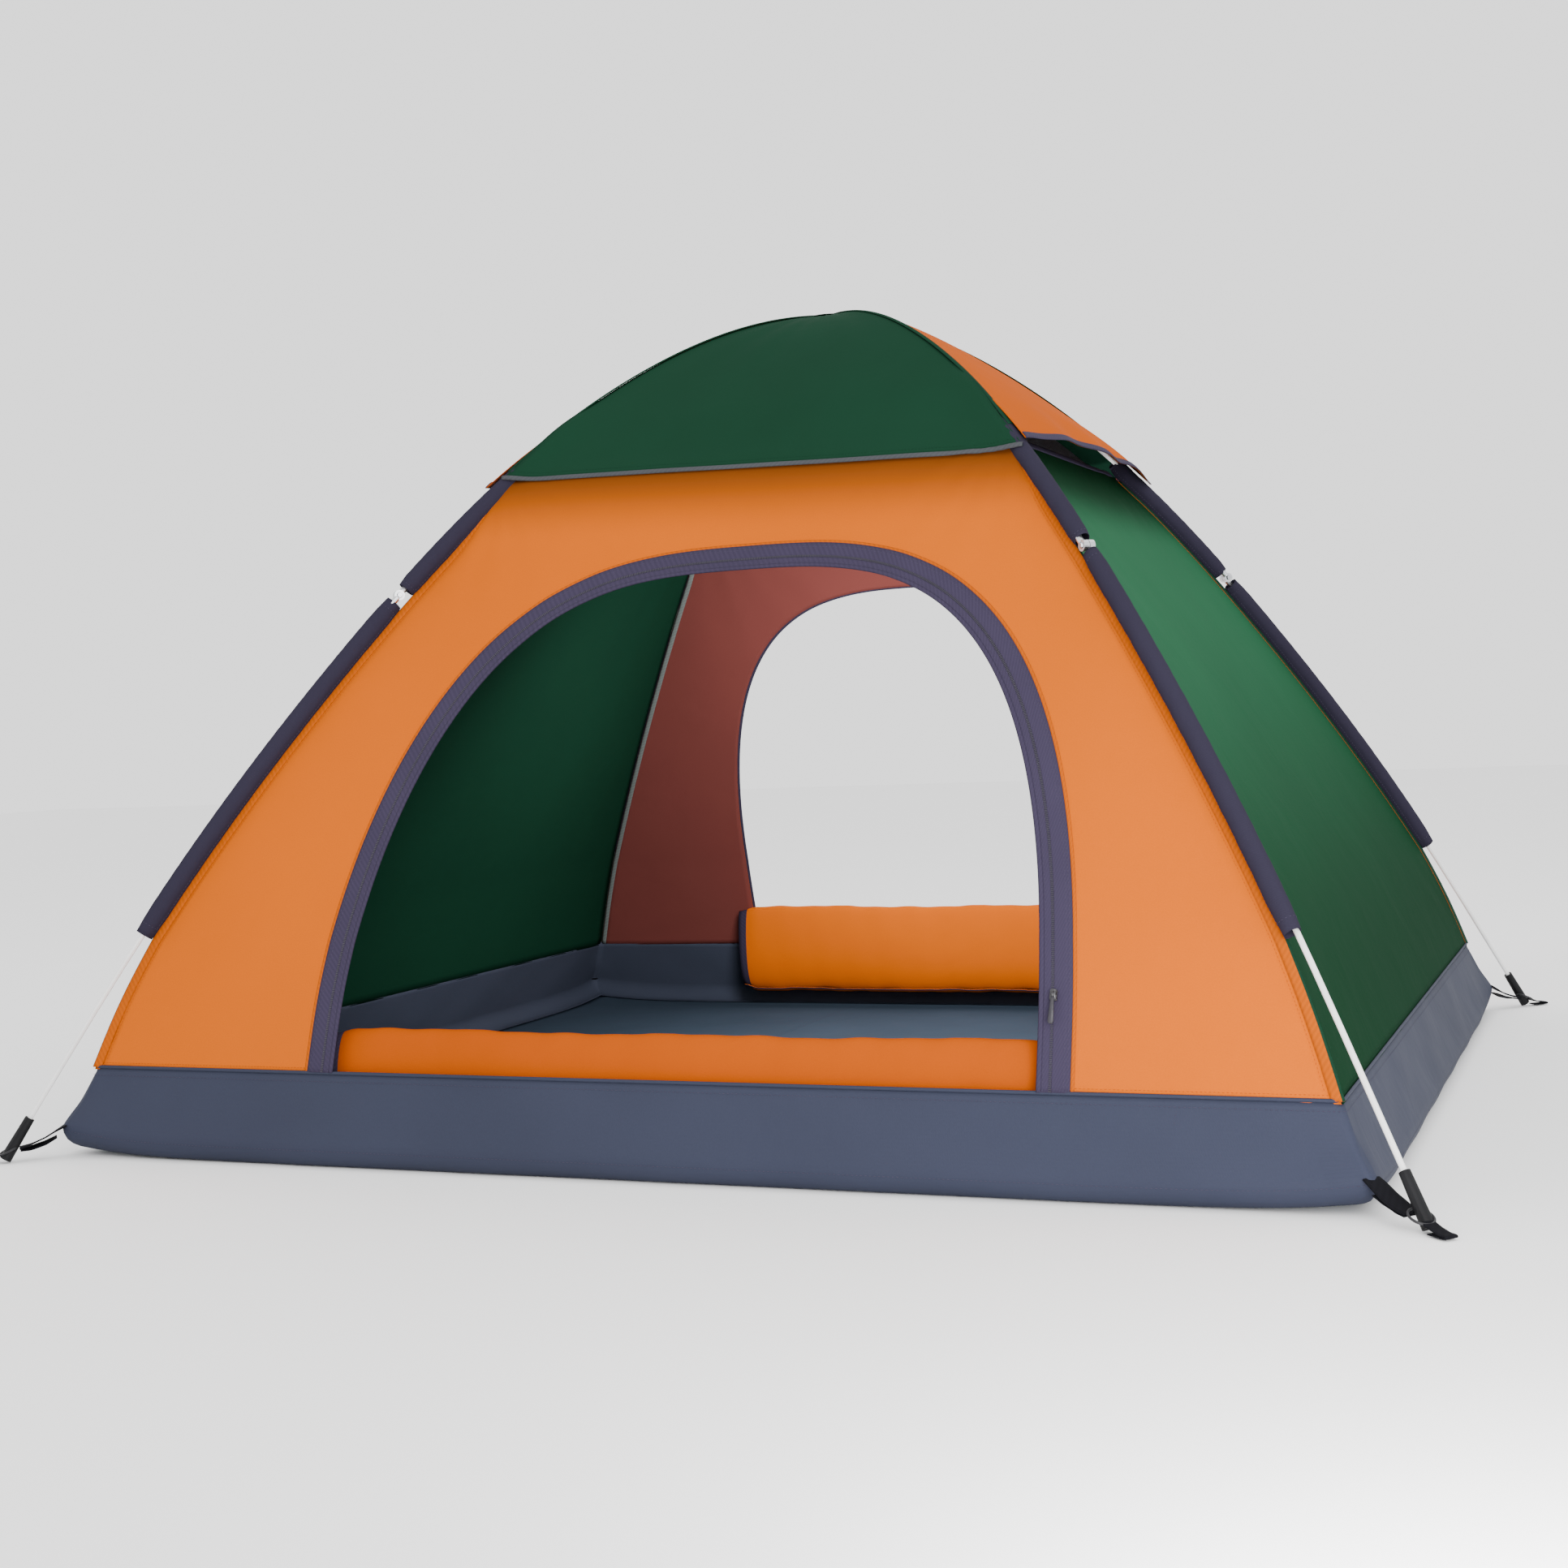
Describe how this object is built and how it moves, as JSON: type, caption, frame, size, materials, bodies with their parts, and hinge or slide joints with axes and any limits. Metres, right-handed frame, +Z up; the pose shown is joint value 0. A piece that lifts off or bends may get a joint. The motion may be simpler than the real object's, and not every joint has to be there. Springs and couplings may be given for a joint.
{
  "type": "dome tent",
  "caption": "Folding-frame dome tent: umbrella hub, hinged ribs, two arched doors with rolled flaps, vent hoods and a tub floor.",
  "frame": {"origin": "on the ground under the middle of the hub", "axes": "+Z up, +X to the right as seen from outside the front door, which faces -Y"},
  "size_m": [2.0228, 1.824, 1.259],
  "materials": {
    "orange_cloth": "smooth coated polyester, low sheen",
    "side_green_cloth": "smooth coated polyester, low sheen",
    "top_green_cloth": "smooth coated polyester, low sheen",
    "binding_tape": "matte woven tape",
    "sleeve_cloth": "matte woven cloth",
    "tub_cloth": "coated oxford cloth, soft sheen",
    "floor_cloth": "coated oxford cloth, matte",
    "mesh": "fine open netting",
    "rod_white": "smooth white glass-fibre rod",
    "socket_aluminium": "drawn tube, light satin",
    "pin_steel": "bright rivet",
    "ferrule_black": "moulded, matte",
    "strap_webbing": "flat woven webbing",
    "hub_plastic": "moulded, matte",
    "wire_steel": "drawn wire",
    "slider_black": "black lacquer",
    "pull_steel": "satin"
  },
  "bodies": {
    "canopy": {"corner_strap_FL": "strap_webbing", "corner_strap_FR": "strap_webbing", "corner_strap_RL": "strap_webbing", "corner_strap_RR": "strap_webbing", "front_door_binding": "binding_tape", "front_door_roll": "orange_cloth", "front_panel": "orange_cloth", "groundsheet": "floor_cloth", "left_panel": "side_green_cloth", "rear_door_binding": "binding_tape", "rear_door_roll": "orange_cloth", "rear_panel": "orange_cloth", "right_panel": "side_green_cloth", "roof_mesh": "mesh", "top_panel_front": "top_green_cloth", "top_panel_rear": "top_green_cloth", "tub_wall": "tub_cloth", "vent_hood_left": "orange_cloth", "vent_hood_right": "orange_cloth"},
    "hub": {"hub_body": "hub_plastic", "hub_cap": "hub_plastic", "hub_ring_wire": "wire_steel"},
    "upper_FR": {"upper_rib_FR": "rod_white", "upper_sleeve_FR": "sleeve_cloth", "upper_socket_FR": "socket_aluminium", "elbow_pin_FR": "pin_steel"},
    "lower_FR": {"lower_rib_FR": "rod_white", "lower_sleeve_FR": "sleeve_cloth", "lower_socket_FR": "socket_aluminium", "foot_ferrule_FR": "ferrule_black"},
    "upper_RR": {"upper_rib_RR": "rod_white", "upper_sleeve_RR": "sleeve_cloth", "upper_socket_RR": "socket_aluminium", "elbow_pin_RR": "pin_steel"},
    "lower_RR": {"lower_rib_RR": "rod_white", "lower_sleeve_RR": "sleeve_cloth", "lower_socket_RR": "socket_aluminium", "foot_ferrule_RR": "ferrule_black"},
    "upper_RL": {"upper_rib_RL": "rod_white", "upper_sleeve_RL": "sleeve_cloth", "upper_socket_RL": "socket_aluminium", "elbow_pin_RL": "pin_steel"},
    "lower_RL": {"lower_rib_RL": "rod_white", "lower_sleeve_RL": "sleeve_cloth", "lower_socket_RL": "socket_aluminium", "foot_ferrule_RL": "ferrule_black"},
    "upper_FL": {"upper_rib_FL": "rod_white", "upper_sleeve_FL": "sleeve_cloth", "upper_socket_FL": "socket_aluminium", "elbow_pin_FL": "pin_steel"},
    "lower_FL": {"lower_rib_FL": "rod_white", "lower_sleeve_FL": "sleeve_cloth", "lower_socket_FL": "socket_aluminium", "foot_ferrule_FL": "ferrule_black"},
    "front_slider": {"front_zip_slider": "slider_black"},
    "front_pull": {"front_zip_pull": "pull_steel"},
    "rear_slider": {"rear_zip_slider": "slider_black"},
    "rear_pull": {"rear_zip_pull": "pull_steel"}
  },
  "joints": [
    {"name": "hub_drop", "type": "slide", "parent": "canopy", "child": "hub", "axis": [0, 0, -1], "range_m": [0, 1.12], "deforming": ["front_door_binding", "front_door_roll", "front_panel", "left_panel", "rear_door_binding", "rear_door_roll", "rear_panel", "right_panel", "roof_mesh", "top_panel_front", "top_panel_rear", "tub_wall", "vent_hood_left", "vent_hood_right", "upper_sleeve_FR", "upper_sleeve_RR", "upper_sleeve_RL", "upper_sleeve_FL", "lower_sleeve_FR", "lower_sleeve_RR", "lower_sleeve_RL", "lower_sleeve_FL"]},
    {"name": "rib_swing_FR", "type": "hinge", "parent": "hub", "child": "upper_FR", "pos_m": [0.02564, -0.02308, 1.24472], "axis": [-0.669, -0.7433, 0], "range_deg": [0, 32.19]},
    {"name": "elbow_fold_FR", "type": "hinge", "parent": "upper_FR", "child": "lower_FR", "pos_m": [0.544, -0.4896, 0.8142], "axis": [-0.669, -0.7433, 0], "range_deg": [0, 191.19]},
    {"name": "rib_swing_RR", "type": "hinge", "parent": "hub", "child": "upper_RR", "pos_m": [0.02564, 0.02308, 1.24472], "axis": [0.669, -0.7433, 0], "range_deg": [0, 32.19]},
    {"name": "elbow_fold_RR", "type": "hinge", "parent": "upper_RR", "child": "lower_RR", "pos_m": [0.544, 0.4896, 0.8142], "axis": [0.669, -0.7433, 0], "range_deg": [0, 193.69]},
    {"name": "rib_swing_RL", "type": "hinge", "parent": "hub", "child": "upper_RL", "pos_m": [-0.02564, 0.02308, 1.24472], "axis": [0.669, 0.7433, 0], "range_deg": [0, 32.19]},
    {"name": "elbow_fold_RL", "type": "hinge", "parent": "upper_RL", "child": "lower_RL", "pos_m": [-0.544, 0.4896, 0.8142], "axis": [0.669, 0.7433, 0], "range_deg": [0, 191.19]},
    {"name": "rib_swing_FL", "type": "hinge", "parent": "hub", "child": "upper_FL", "pos_m": [-0.02564, -0.02308, 1.24472], "axis": [-0.669, 0.7433, 0], "range_deg": [0, 32.19]},
    {"name": "elbow_fold_FL", "type": "hinge", "parent": "upper_FL", "child": "lower_FL", "pos_m": [-0.544, -0.4896, 0.8142], "axis": [-0.669, 0.7433, 0], "range_deg": [0, 193.69]},
    {"name": "front_zip_run", "type": "slide", "parent": "canopy", "child": "front_slider", "axis": [0, 0.4188, 0.9081], "range_m": [0, 0.25]},
    {"name": "front_pull_swing", "type": "hinge", "parent": "front_slider", "child": "front_pull", "pos_m": [0.554, -0.78546, 0.24209], "axis": [-1, 0, 0], "range_deg": [0, 100]},
    {"name": "rear_zip_run", "type": "slide", "parent": "canopy", "child": "rear_slider", "axis": [0, -0.4188, 0.9081], "range_m": [0, 0.25]},
    {"name": "rear_pull_swing", "type": "hinge", "parent": "rear_slider", "child": "rear_pull", "pos_m": [-0.54, 0.78546, 0.24209], "axis": [1, 0, 0], "range_deg": [0, 100]}
  ],
  "couplings": [
    {"joint": "rib_swing_FR", "follows": "hub_drop", "rad_per_m": 0.49382},
    {"joint": "elbow_fold_FR", "follows": "hub_drop", "rad_per_m": 2.9717},
    {"joint": "rib_swing_RR", "follows": "hub_drop", "rad_per_m": 0.49382},
    {"joint": "elbow_fold_RR", "follows": "hub_drop", "rad_per_m": 3.0106},
    {"joint": "rib_swing_RL", "follows": "hub_drop", "rad_per_m": 0.49382},
    {"joint": "elbow_fold_RL", "follows": "hub_drop", "rad_per_m": 2.9717},
    {"joint": "rib_swing_FL", "follows": "hub_drop", "rad_per_m": 0.49382},
    {"joint": "elbow_fold_FL", "follows": "hub_drop", "rad_per_m": 3.0106}
  ]
}
